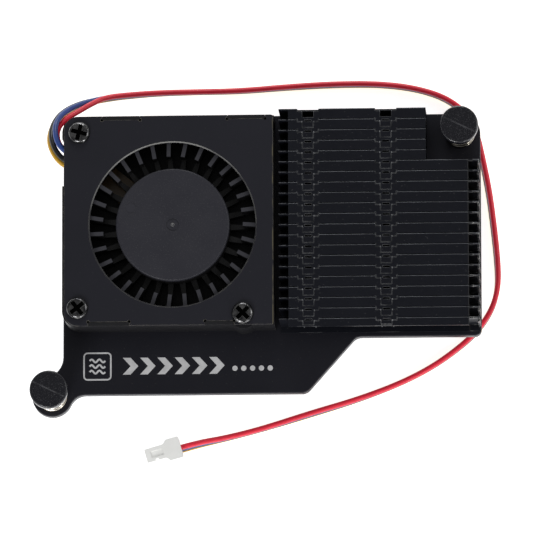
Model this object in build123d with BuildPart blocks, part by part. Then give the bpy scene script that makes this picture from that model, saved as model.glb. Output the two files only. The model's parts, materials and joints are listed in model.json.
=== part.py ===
from build123d import *
import math
import os

# Low-profile active cooler for a single board computer.
# +X runs from the blower to the fins, +Y towards the lead exit side, +Z up.
# The origin is midway between the two push pins, at the level of their tips.
# All sizes are in millimetres.

# ---------------------------------------------------------------- driving dimensions
# Base plate and its two push-pin stations
pin_pitch_x = 58.0
pin_pitch_y = 37.2
tip_drop = 5.6
plate_t = 1.6
boss_r = 2.85
left_margin = 1.55
tail_margin = 0.2
step_slope = 48.4
step_offset = 4.32
fin_front_margin = 0.6
step_corner_r = 1.6
ear_fillet_left = 3.0
ear_fillet_tail = 2.4
plate_edge_break = 0.12
corner_r = 0.9

# Blower
blower_size = 30.0
stack_h = 6.0
blower_top_margin = 0.9
blower_left_margin = 0.2
wall_t = 0.85
floor_t = 0.7
cover_t = 0.6
cover_inset = 0.3
fan_offset_x = 0.67
fan_offset_y = -0.6
inlet_r = 11.75
screw_corner_r = 2.2
cover_corner_r = 0.3
blower_screw_r = 0.8
blower_boss_r = 2.0
screw_head_r = 1.55
screw_head_h = 0.62
screw_dome_r = 0.5
recess_w = 0.62
recess_l = 2.3
recess_depth = 0.5
recess_taper = 12
recess_angles = [-15, 38, 45]
clip_depth = 0.55
clip_gap = 0.06
clip_relief_r = 0.22
inlet_chamfer = 0.15

# Impeller and motor
impeller_r = 12.7
blade_count = 31
blade_t = 0.55
blade_lean = 4.0
blade_inner_r = 9.9
hub_r = 8.05
hub_wall = 0.63
hub_top_t = 0.75
hub_edge_r = 0.25
hub_drop = 0.3
hub_boss_h = 0.5
skirt_lift = 0.5
blade_lift = 0.4
blade_gap = 0.3
root_drop = 2.2
root_overlap = 0.15
root_half_w = 0.42
hoop_w = 0.45
hoop_h = 0.5
mark_r = 0.78
mark_depth = 0.06
mark_x = -5.95
mark_y = 2.5
dimple_r = 0.92
dimple_depth = 0.12
gate_r = 0.28
gate_h = 0.08
shaft_r = 0.75
shaft_cap = 0.2
shaft_end_r = 0.3
shaft_lift = 0.03
bearing_wall = 1.0
run_gap = 0.03
seat_gap = 0.02
air_gap = 0.25
magnet_t = 0.7
magnet_inset = 0.3
yoke_t = 0.24
tooth_count = 6
pcb_t = 0.4
impeller_clear = 0.8
scroll_step = 0.8
scroll_rise = 0.4
outlet_margin = 0.6
tube_wall = 0.6
tube_h = 3.4
tongue_w = 3.6
tongue_l = 16.9
tongue_angle = 141.5
core_wall = 1.0
core_lift = 1.0
core_t = 1.9
insulator_t = 0.18
tooth_w = 0.9
tooth_tip_l = 0.5
tooth_tip_w = 4.2
coil_wall = 0.55
coil_end_wall = 0.3
coil_corner_r = 0.28
coil_gap = 0.03
thrust_t = 0.2
block_t = 0.75

# Clearances between pieces that fit together
fit_gap = 0.05
loose_gap = 0.1

# Fin stack
fin_count = 21
fin_pitch = 1.5
sheet_t = 0.25
bend_r = 0.18
flange_gap = 0.04
last_flange = 1.2
fin_top_margin = 0.1
fin_gap = 0.7
fin_end_margin = 0.12
flange_start = 1.35
flange_end = 1.5
lock_offset_a = 4.15
lock_pitch = 11.0
lock_wide = 3.0
lock_wide_depth = 0.42
lock_narrow = 1.6
lock_notch_h = 1.1
lock_slot_w = 1.0
lock_slot_l = 0.26
lock_strip = 0.2
lock_clear = 0.05
notch_margin = 4.75
short_reach = 4.33
tooth_gap_left = 0.3
tooth_gap_right = 0.6
end_tab_w = 0.65
end_tab_drop = 0.15

# Push pins and springs
pin_head_r = 2.7
pin_head_t = 1.1
pin_rim_r = 0.3
pin_head_rise = 7.4
pin_shank_r = 1.3
pin_hole_clear = 0.1
pin_barb_r = 1.75
pin_barb_h = 1.0
pin_tip_r = 0.9
pin_tip_round = 0.35
pin_slot_w = 0.6
pin_line_w = 0.16
pin_line_depth = 0.06
pin_line_angle = -26
spring_r = 1.93
spring_wire_r = 0.22
spring_turns = 5.5
spring_gap = 0.03

# Lead and connector
wire_d = 0.78
wire_pitch = 0.84
contact_pitch = 1.0
contact_count = 4
plug_length = 5.15
plug_flange_length = 1.9
plug_body_t = 2.0
plug_flange_t = 3.1
plug_height = 5.0
plug_angle = 15.55
plug_entry = 1.3
plug_straight = 2.42
plug_slope_l = 0.5
plug_edge_break = 0.12
fan_in_x = -4.70
fan_in_y = -24.20
fan_in_z = 0.62
fan_in_lean = 0.08
fan_in_pitch = 0.90

# ---------------------------------------------------------------- derived places
pin_x = pin_pitch_x / 2
pin_y = pin_pitch_y / 2
pin_places = {"push_pin_a": (pin_x, pin_y), "push_pin_b": (-pin_x, -pin_y)}

z_under = tip_drop
z_plate = tip_drop + plate_t
z_top = z_plate + stack_h

plate_left = -pin_x + left_margin
plate_right = pin_x + boss_r
plate_top = pin_y + boss_r
tail_bottom = -pin_y + tail_margin

blower_x0 = plate_left + blower_left_margin
blower_x1 = blower_x0 + blower_size
blower_y1 = plate_top - blower_top_margin
blower_y0 = blower_y1 - blower_size
blower_cx = (blower_x0 + blower_x1) / 2
blower_cy = (blower_y0 + blower_y1) / 2
fan_x = blower_cx + fan_offset_x
fan_y = blower_cy + fan_offset_y

fin_y_top = plate_top - fin_top_margin
fin_y_end = fin_y_top - (fin_count - 1) * fin_pitch - last_flange
fin_x0 = blower_x1 + fin_gap
fin_x1 = plate_right - fin_end_margin
short_x1 = pin_x - notch_margin

right_bottom = fin_y_end - fin_front_margin
step_x = blower_x1 + step_offset

screw_places = [
    (blower_x0 + 2.46, blower_y1 - 2.35),
    (blower_x0 + 2.2, blower_y0 + 2.51),
    (blower_x1 - 4.43, blower_y0 + 1.62),
]

tiny = 0.01  # tolerance for picking an edge by its place

os.makedirs("parts", exist_ok=True)


def save(builder, label):
    """Label the finished piece and write it as its own STEP file."""
    builder.part.label = label
    export_step(builder.part, f"parts/{label}.step")


# ---------------------------------------------------------------- base plate
pedestal_h = 0.8
pedestal_size = 16.0
pedestal_x = -4.0
pedestal_y = 1.5
step_run = (right_bottom - tail_bottom) / math.tan(math.radians(step_slope))
boss_left_y = -pin_y + math.sqrt(boss_r**2 - left_margin**2)
boss_tail_x = -pin_x + math.sqrt(boss_r**2 - tail_margin**2)

with BuildPart() as base_plate:
    with BuildSketch(Plane.XY.offset(z_under)) as outline:
        with BuildLine():
            Polyline(
                (plate_left, tail_bottom),
                (step_x, tail_bottom),
                (step_x + step_run, right_bottom),
                (plate_right, right_bottom),
                (plate_right, plate_top),
                (plate_left, plate_top),
                close=True,
            )
        make_face()
        with Locations((-pin_x, -pin_y)):
            Circle(boss_r)
        fillet(outline.vertices().sort_by_distance((plate_left, boss_left_y, 0))[0], ear_fillet_left)
        fillet(outline.vertices().sort_by_distance((boss_tail_x, tail_bottom, 0))[0], ear_fillet_tail)
        fillet(outline.vertices().sort_by_distance((step_x, tail_bottom, 0))[0], step_corner_r)
        fillet(outline.vertices().sort_by_distance((step_x + step_run, right_bottom, 0))[0], step_corner_r)
        fillet(outline.vertices().sort_by_distance((plate_right, right_bottom, 0))[0], corner_r)
        fillet(outline.vertices().sort_by_distance((plate_right, plate_top, 0))[0], boss_r)
        fillet(outline.vertices().sort_by_distance((plate_left, plate_top, 0))[0], corner_r)
    extrude(amount=plate_t)
    chamfer(base_plate.faces().sort_by(Axis.Z)[-1].outer_wire().edges(), plate_edge_break)
    with BuildSketch(Plane.XY.offset(z_under - pedestal_h)) as pedestal:
        with Locations((pedestal_x, pedestal_y)):
            RectangleRounded(pedestal_size, pedestal_size, 1.0)
    extrude(amount=pedestal_h)
    with Locations(*[(x, y, z_plate) for x, y in pin_places.values()]):
        Hole(pin_shank_r + pin_hole_clear)
    with Locations(*[(x, y, z_plate) for x, y in screw_places]):
        Hole(blower_screw_r + seat_gap)
save(base_plate, "base_plate")

# ---------------------------------------------------------------- thermal pads
soc_pad_t = 0.5
side_pad_t = pedestal_h + soc_pad_t
pad_layout = {
    "thermal_pad_processor": (pedestal_x, pedestal_y, 15.0, 15.0, z_under - pedestal_h, soc_pad_t),
    "thermal_pad_power": (pedestal_x + 22.0, pedestal_y + 3.0, 9.0, 12.0, z_under, side_pad_t),
    "thermal_pad_wireless": (pedestal_x - 16.5, pedestal_y - 12.0, 11.0, 11.0, z_under, side_pad_t),
}
for pad_name, (pad_x, pad_y, pad_w, pad_l, pad_z, pad_t) in pad_layout.items():
    with BuildPart() as thermal_pad:
        with BuildSketch(Plane.XY.offset(pad_z)):
            with Locations((pad_x, pad_y)):
                RectangleRounded(pad_w, pad_l, 0.5)
        extrude(amount=-pad_t)
    save(thermal_pad, pad_name)

# ---------------------------------------------------------------- fin stack
# Each fin is a folded sheet: a web, a bottom flange that is bonded to the plate and a
# top flange that locks into the next fin with two T-shaped tabs.
lock_x = [fin_x0 + lock_offset_a, fin_x0 + lock_offset_a + lock_pitch]


def flange_depth(index):
    return last_flange if index == fin_count - 1 else fin_pitch - flange_gap


for index in range(fin_count):
    back_y = fin_y_top - index * fin_pitch
    depth = flange_depth(index)
    is_short = back_y > pin_y - short_reach
    is_last = index == fin_count - 1
    web_x1 = short_x1 if is_short else fin_x1
    top_x0 = fin_x0 + flange_start
    top_x1 = short_x1 if is_short else fin_x1 - flange_end
    with BuildPart() as fin:
        with BuildSketch(Plane.XY.offset(z_plate)):
            with Locations(((fin_x0 + web_x1) / 2, back_y)):
                Rectangle(web_x1 - fin_x0, depth, align=(Align.CENTER, Align.MAX))
        extrude(amount=sheet_t)
        with BuildSketch(Plane.XY.offset(z_plate)):
            with Locations(((fin_x0 + web_x1) / 2, back_y)):
                Rectangle(web_x1 - fin_x0, sheet_t, align=(Align.CENTER, Align.MAX))
        extrude(amount=stack_h - sheet_t)
        with BuildSketch(Plane.XY.offset(z_top - lock_notch_h)):
            with Locations(*[(x, back_y) for x in lock_x]):
                Rectangle(lock_wide, sheet_t, align=(Align.CENTER, Align.MAX))
        extrude(amount=lock_notch_h, mode=Mode.SUBTRACT)
        with BuildSketch(Plane.XY.offset(z_top - sheet_t)):
            with Locations(((top_x0 + top_x1) / 2, back_y)):
                Rectangle(top_x1 - top_x0, depth, align=(Align.CENTER, Align.MAX))
            with Locations((fin_x0, back_y)):
                Rectangle(flange_start - tooth_gap_left, sheet_t, align=(Align.MIN, Align.MAX))
            if not is_short:
                with Locations((fin_x1, back_y)):
                    Rectangle(flange_end - tooth_gap_right, sheet_t, align=(Align.MAX, Align.MAX))
            for x in lock_x:
                with Locations((x, back_y)):
                    Rectangle(
                        lock_wide, lock_wide_depth, align=(Align.CENTER, Align.MAX), mode=Mode.SUBTRACT
                    )
                    Rectangle(
                        lock_narrow, depth - lock_strip, align=(Align.CENTER, Align.MAX), mode=Mode.SUBTRACT
                    )
            if not is_last:
                tab_y = back_y - depth + lock_clear
                next_y = back_y - fin_pitch
                tongue_y = next_y - flange_depth(index + 1) + lock_strip + lock_clear
                for x in lock_x:
                    with Locations((x, tab_y)):
                        Rectangle(
                            lock_wide - 2 * lock_clear,
                            tab_y - next_y + lock_wide_depth - lock_clear,
                            align=(Align.CENTER, Align.MAX),
                        )
                        Rectangle(
                            lock_narrow - 2 * lock_clear, tab_y - tongue_y, align=(Align.CENTER, Align.MAX)
                        )
                    with Locations((x, next_y - lock_slot_l)):
                        Rectangle(lock_slot_w, lock_slot_l, mode=Mode.SUBTRACT)
        extrude(amount=sheet_t)
        if not is_short:
            with BuildSketch(Plane.XY.offset(z_plate + sheet_t)):
                with Locations((fin_x1, back_y)):
                    Rectangle(sheet_t, end_tab_w, align=(Align.MAX, Align.MAX))
            extrude(amount=stack_h - 2 * sheet_t - end_tab_drop)
        bend_edges = (
            fin.edges()
            .filter_by(Axis.X)
            .filter_by_position(Axis.Z, z_top - tiny, z_top + tiny)
            .filter_by_position(Axis.Y, back_y - tiny, back_y + tiny)
        )
        fillet(bend_edges, bend_r)
    save(fin, f"fin_{index + 1:02d}")

# ---------------------------------------------------------------- blower housing
z_floor = z_plate + floor_t
z_cover = z_top - cover_t
cavity_r = impeller_r + impeller_clear
scroll_r = cavity_r + scroll_step
outlet_y0 = screw_places[2][1] + blower_boss_r + outlet_margin
outlet_y1 = blower_y1 - wall_t
sleeve_r = shaft_r + run_gap + bearing_wall
tube_r = sleeve_r + seat_gap + tube_wall
tube_top = z_floor + tube_h
pcb_r = hub_r - hub_wall - loose_gap
tongue_plane_x = fan_x + tongue_l / 2 * math.cos(math.radians(tongue_angle))
tongue_plane_y = fan_y + tongue_l / 2 * math.sin(math.radians(tongue_angle))
lead_slot_y0 = blower_y1 - 9.87
lead_slot_y1 = blower_y1 - 3.1
pocket_x1 = blower_x0 + 3.35
pocket_y0 = blower_y1 - 7.5
pocket_y1 = blower_y1 - 3.45
clips = [
    (blower_x0 + 5.69, 5.39, blower_y1, Align.MAX),
    (blower_x0 + 23.42, 5.38, blower_y1, Align.MAX),
    (blower_x0 + 3.74, 5.79, blower_y0, Align.MIN),
    (blower_x0 + 20.26, 4.09, blower_y0, Align.MIN),
]


def blower_outline(x0, x1, y0, y1):
    """Rectangle between two pairs of sides; its corners are rounded afterwards."""
    with Locations(((x0 + x1) / 2, (y0 + y1) / 2)):
        Rectangle(x1 - x0, y1 - y0)


with BuildPart() as blower_housing:
    with BuildSketch(Plane.XY.offset(z_plate)) as floor_outline:
        blower_outline(blower_x0, blower_x1, blower_y0, blower_y1)
        fillet(floor_outline.vertices().sort_by_distance((blower_x0, blower_y0, 0))[0], screw_corner_r)
        fillet(floor_outline.vertices().sort_by_distance((blower_x0, blower_y1, 0))[0], screw_corner_r)
        with Locations(screw_places[2]):
            Circle(blower_boss_r + loose_gap)
    extrude(amount=floor_t)
    extrude(floor_outline.sketch, amount=stack_h - cover_t)
    with BuildSketch(Plane.XY.offset(z_floor)):
        with Locations((fan_x, fan_y)):
            Circle(cavity_r)
        with Locations((fan_x, fan_y + scroll_rise)):
            Circle(scroll_r)
        with Locations((fan_x, outlet_y0)):
            Rectangle(blower_x1 - fan_x + 1, outlet_y1 - outlet_y0, align=(Align.MIN, Align.MIN))
    extrude(amount=stack_h, mode=Mode.SUBTRACT)
    with BuildSketch(Plane.XY.offset(z_floor + pcb_t)):
        with Locations((blower_x0 - 1, lead_slot_y0)):
            Rectangle(wall_t + 1, lead_slot_y1 - lead_slot_y0, align=(Align.MIN, Align.MIN))
        with Locations((blower_x0, pocket_y0)):
            Rectangle(pocket_x1 - blower_x0, pocket_y1 - pocket_y0, align=(Align.MIN, Align.MIN))
    extrude(amount=stack_h, mode=Mode.SUBTRACT)
    with BuildSketch(Plane.XY.offset(z_floor)):
        with Locations((tongue_plane_x, tongue_plane_y)):
            Rectangle(tongue_l + loose_gap, tongue_w + loose_gap, rotation=tongue_angle)
    extrude(amount=pcb_t + fit_gap, mode=Mode.SUBTRACT)
    with BuildSketch(Plane.XY.offset(z_cover)):
        for clip_x, clip_w, clip_y, side in clips:
            with Locations((clip_x + clip_w / 2, clip_y)):
                Rectangle(clip_w - 2 * clip_gap, clip_depth - clip_gap, align=(Align.CENTER, side))
    extrude(amount=cover_t)
    with BuildSketch(Plane((fan_x, fan_y, z_floor))):
        Circle(tube_r)
        Circle(sleeve_r + seat_gap, mode=Mode.SUBTRACT)
    extrude(amount=tube_top - z_floor)
    with Locations(*[(x, y, z_top) for x, y in screw_places]):
        Hole(blower_screw_r + fit_gap)
save(blower_housing, "blower_housing")

# ---------------------------------------------------------------- blower cover
with BuildPart() as blower_cover:
    with BuildSketch(Plane.XY.offset(z_cover)) as cover_outline:
        blower_outline(blower_x0 + cover_inset, blower_x1 - loose_gap, blower_y0, blower_y1)
        for corner_y in (blower_y0, blower_y1):
            screw_corner = cover_outline.vertices().sort_by_distance((blower_x0, corner_y, 0))[0]
            fillet(screw_corner, screw_corner_r - cover_inset + loose_gap)
        fillet(cover_outline.vertices().sort_by_distance((blower_x1, blower_y1, 0))[0], cover_corner_r)
        fillet(cover_outline.vertices().sort_by_distance((blower_x1, blower_y0, 0))[0], cover_corner_r)
        for clip_x, clip_w, clip_y, side in clips:
            with Locations((clip_x + clip_w / 2, clip_y)):
                Rectangle(clip_w, clip_depth, align=(Align.CENTER, side), mode=Mode.SUBTRACT)
            inner_y = clip_y - clip_depth if side == Align.MAX else clip_y + clip_depth
            with Locations((clip_x, inner_y), (clip_x + clip_w, inner_y)):
                Circle(clip_relief_r, mode=Mode.SUBTRACT)
        with Locations((fan_x, fan_y)):
            Circle(inlet_r, mode=Mode.SUBTRACT)
    extrude(amount=cover_t)
    with Locations(*[(x, y, z_top) for x, y in screw_places]):
        Hole(blower_screw_r + fit_gap)
    inlet_edges = blower_cover.edges().filter_by(GeomType.CIRCLE)
    inlet_edges = inlet_edges.filter_by(lambda e: abs(e.radius - inlet_r) < tiny)
    chamfer(inlet_edges.sort_by(Axis.Z)[-1], inlet_chamfer)
save(blower_cover, "blower_cover")

# ---------------------------------------------------------------- cover screws
# Pan heads with a cross recess; the shanks pass the housing and thread into the plate.
with BuildPart() as cover_screws:
    for x, y in screw_places:
        with BuildSketch(Plane((x, y, z_under + loose_gap))):
            Circle(blower_screw_r)
        extrude(amount=z_top - z_under)
        with BuildSketch(Plane((x, y, z_top))):
            Circle(screw_head_r)
        extrude(amount=screw_head_h)
    rims = cover_screws.edges().filter_by(GeomType.CIRCLE)
    rims = rims.filter_by(lambda e: abs(e.radius - screw_head_r) < tiny).group_by(Axis.Z)[-1]
    fillet(rims, screw_dome_r)
    for (x, y), recess_angle in zip(screw_places, recess_angles):
        with BuildSketch(Plane((x, y, z_top + screw_head_h))):
            Rectangle(recess_l, recess_w, rotation=recess_angle)
            Rectangle(recess_w, recess_l, rotation=recess_angle)
        extrude(amount=-recess_depth, mode=Mode.SUBTRACT, taper=recess_taper)
save(cover_screws, "cover_screws")

# ---------------------------------------------------------------- motor: fixed side
z_pcb = z_floor + pcb_t
stator_r = hub_r - hub_wall - yoke_t - magnet_t - 2 * seat_gap - air_gap
core_r = tube_r + core_wall
z_core = z_floor + core_lift
coil_r0 = core_r + 0.35
coil_r1 = stator_r - 0.75

with BuildPart() as motor_pcb:
    with BuildSketch(Plane.XY.offset(z_floor)):
        with Locations((fan_x, fan_y)):
            Circle(pcb_r)
        with Locations((tongue_plane_x, tongue_plane_y)):
            Rectangle(tongue_l, tongue_w, rotation=tongue_angle)
        with Locations((fan_x, fan_y)):
            Circle(tube_r + seat_gap, mode=Mode.SUBTRACT)
    extrude(amount=pcb_t)
save(motor_pcb, "motor_pcb")

chip_r = stator_r + fit_gap
chip_layout = {
    "driver_chip": (250, 1.5, 1.9, 0.38),
    "hall_sensor": (30, 1.1, 1.5, 0.38),
}
for chip_name, (chip_angle, chip_w, chip_l, chip_t) in chip_layout.items():
    with BuildPart() as chip:
        with BuildSketch(Plane((fan_x, fan_y, z_pcb))):
            with PolarLocations(chip_r, 1, start_angle=chip_angle):
                Rectangle(chip_w, chip_l)
        extrude(amount=chip_t)
    save(chip, chip_name)

with BuildPart() as chip_capacitors:
    with BuildSketch(Plane((fan_x, fan_y, z_pcb))):
        with PolarLocations(chip_r, 3, start_angle=290, angular_range=60):
            Rectangle(0.5, 1.0)
    extrude(amount=0.45)
save(chip_capacitors, "chip_capacitors")

with BuildPart() as thrust_pad:
    with BuildSketch(Plane((fan_x, fan_y, z_floor))):
        Circle(sleeve_r - fit_gap)
    extrude(amount=thrust_t)
save(thrust_pad, "thrust_pad")

with BuildPart() as bearing_sleeve:
    with BuildSketch(Plane((fan_x, fan_y, z_floor + thrust_t))):
        Circle(sleeve_r)
        Circle(shaft_r + run_gap, mode=Mode.SUBTRACT)
    extrude(amount=tube_h - thrust_t - 3 * fit_gap)
    chamfer(bearing_sleeve.edges().filter_by(GeomType.CIRCLE).sort_by(Axis.Z)[-1], 0.1)
save(bearing_sleeve, "bearing_sleeve")


def stator_shape():
    """Ring on the bearing tube with a T-headed tooth for each coil."""
    Circle(core_r)
    with PolarLocations((core_r + stator_r) / 2, tooth_count):
        Rectangle(stator_r - core_r + 0.4, tooth_w)
    with PolarLocations(stator_r - 0.3, tooth_count):
        Rectangle(tooth_tip_l, tooth_tip_w)
    Circle(tube_r + seat_gap, mode=Mode.SUBTRACT)


with BuildPart() as stator_core:
    with BuildSketch(Plane((fan_x, fan_y, z_core))):
        stator_shape()
        Circle(stator_r, mode=Mode.INTERSECT)
    extrude(amount=core_t)
save(stator_core, "stator_core")

with BuildPart() as stator_insulators:
    for z_insulator in (z_core - insulator_t, z_core + core_t):
        with BuildSketch(Plane((fan_x, fan_y, z_insulator))):
            stator_shape()
            Circle(stator_r - loose_gap, mode=Mode.INTERSECT)
        extrude(amount=insulator_t)
save(stator_insulators, "stator_insulators")

with BuildPart() as stator_coils:
    inner_h = core_t + 2 * insulator_t + 2 * coil_gap
    inner_w = tooth_w + 2 * coil_gap
    for tooth in range(tooth_count):
        tooth_angle = 360 / tooth_count * tooth
        coil_dir = (math.cos(math.radians(tooth_angle)), math.sin(math.radians(tooth_angle)), 0)
        coil_origin = (
            fan_x + coil_r0 * coil_dir[0],
            fan_y + coil_r0 * coil_dir[1],
            z_core + core_t / 2,
        )
        with BuildSketch(Plane(coil_origin, x_dir=(0, 0, 1), z_dir=coil_dir)):
            RectangleRounded(inner_h + 2 * coil_end_wall, inner_w + 2 * coil_wall, coil_corner_r)
            Rectangle(inner_h, inner_w, mode=Mode.SUBTRACT)
        extrude(amount=coil_r1 - coil_r0)
save(stator_coils, "stator_coils")

with BuildPart() as lead_block:
    with BuildSketch(Plane.XY.offset(z_pcb + seat_gap)):
        with Locations((pocket_x1 - fit_gap, (pocket_y0 + pocket_y1) / 2)):
            Rectangle(block_t, pocket_y1 - pocket_y0 - loose_gap, align=(Align.MAX, Align.CENTER))
    extrude(amount=z_cover - z_pcb - seat_gap - fit_gap)
    chamfer(lead_block.edges().filter_by(Axis.Z).sort_by(Axis.X)[:2], 0.1)
save(lead_block, "lead_block")

# ---------------------------------------------------------------- rotor
hub_inner_r = hub_r - hub_wall
z_hub = z_top - hub_drop
z_hub_under = z_hub - hub_top_t
z_skirt = z_pcb + skirt_lift
z_blade0 = z_pcb + blade_lift
z_blade1 = z_cover - blade_gap
z_root = z_blade1 - root_drop
root_r0 = hub_r - loose_gap
root_r1 = blade_inner_r + root_overlap

with BuildPart() as impeller:
    with BuildSketch(Plane((fan_x, fan_y, z_skirt))):
        Circle(hub_r)
    extrude(amount=z_hub - z_skirt)
    fillet(impeller.edges().filter_by(GeomType.CIRCLE).sort_by(Axis.Z)[-1], hub_edge_r)
    with BuildSketch(Plane((fan_x, fan_y, z_skirt))):
        Circle(hub_inner_r)
    extrude(amount=z_hub_under - z_skirt, mode=Mode.SUBTRACT)
    with BuildSketch(Plane((fan_x, fan_y, z_blade0))):
        with PolarLocations((blade_inner_r + impeller_r) / 2, blade_count):
            Rectangle(impeller_r - blade_inner_r, blade_t, rotation=-blade_lean)
    extrude(amount=z_blade1 - z_blade0)
    with BuildSketch(Plane((fan_x, fan_y, z_blade0))):
        with PolarLocations((root_r0 + root_r1) / 2, blade_count):
            Polygon(
                ((root_r0 - root_r1) / 2, -root_half_w),
                ((root_r1 - root_r0) / 2, -blade_t / 2),
                ((root_r1 - root_r0) / 2, blade_t / 2),
                ((root_r0 - root_r1) / 2, root_half_w),
                align=None,
            )
    extrude(amount=z_root - z_blade0)
    with BuildSketch(Plane((fan_x, fan_y, z_blade0))):
        Circle(impeller_r)
        Circle(impeller_r - hoop_w, mode=Mode.SUBTRACT)
    extrude(amount=hoop_h)
    with BuildSketch(Plane((fan_x, fan_y, z_hub_under - hub_boss_h))):
        Circle(2 * shaft_r)
    extrude(amount=hub_boss_h)
    with BuildSketch(Plane((fan_x, fan_y, z_hub - shaft_cap))):
        Circle(shaft_r + seat_gap)
    extrude(amount=-hub_top_t - hub_boss_h, mode=Mode.SUBTRACT)
    with BuildSketch(Plane((fan_x, fan_y, z_hub))):
        Circle(dimple_r)
    extrude(amount=-dimple_depth, mode=Mode.SUBTRACT)
    with BuildSketch(Plane((fan_x, fan_y, z_hub - dimple_depth))):
        Circle(gate_r)
    extrude(amount=gate_h)
    with BuildSketch(Plane((fan_x + mark_x, fan_y + mark_y, z_hub))):
        Circle(mark_r)
    extrude(amount=-mark_depth, mode=Mode.SUBTRACT)
save(impeller, "impeller")

with BuildPart() as rotor_yoke:
    with BuildSketch(Plane((fan_x, fan_y, z_skirt + loose_gap))):
        Circle(hub_inner_r - seat_gap)
        Circle(hub_inner_r - seat_gap - yoke_t, mode=Mode.SUBTRACT)
    extrude(amount=z_hub_under - z_skirt - loose_gap - fit_gap)
save(rotor_yoke, "rotor_yoke")

with BuildPart() as rotor_magnet:
    with BuildSketch(Plane((fan_x, fan_y, z_skirt + magnet_inset))):
        Circle(hub_inner_r - 2 * seat_gap - yoke_t)
        Circle(hub_inner_r - 2 * seat_gap - yoke_t - magnet_t, mode=Mode.SUBTRACT)
    extrude(amount=z_hub_under - z_skirt - 2 * magnet_inset)
save(rotor_magnet, "rotor_magnet")

with BuildPart() as rotor_shaft:
    shaft_z0 = z_floor + thrust_t + shaft_lift
    with BuildSketch(Plane((fan_x, fan_y, shaft_z0))):
        Circle(shaft_r)
    extrude(amount=z_hub - shaft_cap - seat_gap - shaft_z0)
    fillet(rotor_shaft.edges().filter_by(GeomType.CIRCLE).sort_by(Axis.Z)[0], shaft_end_r)
save(rotor_shaft, "rotor_shaft")

# ---------------------------------------------------------------- push pins and springs
z_pin_top = z_plate + pin_head_rise
z_pin_head = z_pin_top - pin_head_t
z_barb = z_under - fit_gap
z_barb_end = z_barb - pin_barb_h
spring_z0 = z_plate + spring_wire_r + spring_gap
spring_h = z_pin_head - z_plate - 2 * (spring_wire_r + spring_gap)

for pin_name, (x, y) in pin_places.items():
    with BuildPart() as push_pin:
        with BuildSketch(Plane((x, y, z_pin_head))):
            Circle(pin_head_r)
        extrude(amount=pin_head_t)
        fillet(push_pin.edges().filter_by(GeomType.CIRCLE).sort_by(Axis.Z)[-1], pin_rim_r)
        with BuildSketch(Plane((x, y, z_barb))):
            Circle(pin_shank_r)
        extrude(amount=z_pin_head - z_barb)
        with BuildSketch(Plane((x, y, z_barb))):
            Circle(pin_barb_r)
        extrude(amount=z_barb_end - z_barb)
        with BuildSketch(Plane((x, y, z_barb_end))):
            Circle(pin_barb_r)
        with BuildSketch(Plane((x, y, 0))):
            Circle(pin_tip_r)
        loft()
        fillet(push_pin.edges().filter_by(GeomType.CIRCLE).sort_by(Axis.Z)[0], pin_tip_round)
        with BuildSketch(Plane((x, y, 0))):
            Rectangle(pin_slot_w, 2 * pin_barb_r + 1, rotation=pin_line_angle)
        extrude(amount=z_barb, mode=Mode.SUBTRACT)
        with BuildSketch(Plane((x, y, z_pin_top))):
            Rectangle(2 * (pin_head_r - pin_rim_r), pin_line_w, rotation=pin_line_angle)
        extrude(amount=-pin_line_depth, mode=Mode.SUBTRACT)
    save(push_pin, pin_name)

for spring_name, (x, y) in zip(("spring_a", "spring_b"), pin_places.values()):
    with BuildPart() as spring:
        with BuildLine() as coil:
            Helix(
                pitch=spring_h / spring_turns,
                height=spring_h,
                radius=spring_r,
                center=(x, y, spring_z0),
            )
        with BuildSketch(Plane(origin=coil.line @ 0, z_dir=coil.line % 0)):
            Circle(spring_wire_r)
        sweep(path=coil.line, is_frenet=True)
    save(spring, spring_name)

# ---------------------------------------------------------------- four-wire lead
# Four single wires, stacked on edge, run from the block in the housing wall round the
# cooler to the connector. The routes are points picked by hand.
yellow_exit = [
    (-24.70, 13.75, 10.00), (-26.30, 13.75, 10.00), (-27.55, 14.40, 9.95), (-28.55, 15.60, 9.60),
    (-29.22, 17.05, 9.00), (-29.42, 18.60, 8.15), (-29.08, 20.20, 7.10), (-28.25, 21.70, 5.95),
    (-26.95, 22.95, 4.95), (-25.15, 23.95, 4.15),
]
black_exit = [
    (-24.70, 14.35, 10.60), (-26.15, 14.35, 10.60), (-27.40, 15.00, 10.55), (-28.40, 16.25, 10.20),
    (-28.98, 17.85, 9.60), (-29.08, 19.50, 8.80), (-28.58, 21.05, 7.80), (-27.62, 22.42, 6.65),
    (-26.20, 23.45, 5.60), (-24.30, 24.25, 4.80),
]
blue_exit = [
    (-24.70, 15.50, 11.20), (-26.00, 15.50, 11.20), (-27.15, 16.10, 11.20), (-28.05, 17.25, 11.08),
    (-28.42, 18.80, 10.70), (-28.33, 20.25, 10.02), (-27.70, 21.55, 9.08), (-26.50, 22.68, 7.84),
    (-24.98, 23.56, 6.66), (-23.30, 24.24, 5.67),
]
red_exit = [
    (-24.70, 15.85, 9.30), (-26.06, 15.85, 9.30), (-27.24, 16.44, 9.28), (-28.05, 17.49, 9.20),
    (-28.30, 18.79, 9.05), (-27.93, 20.08, 8.90), (-26.85, 21.25, 8.65), (-25.43, 22.12, 8.10),
    (-23.70, 23.40, 7.00),
]
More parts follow.
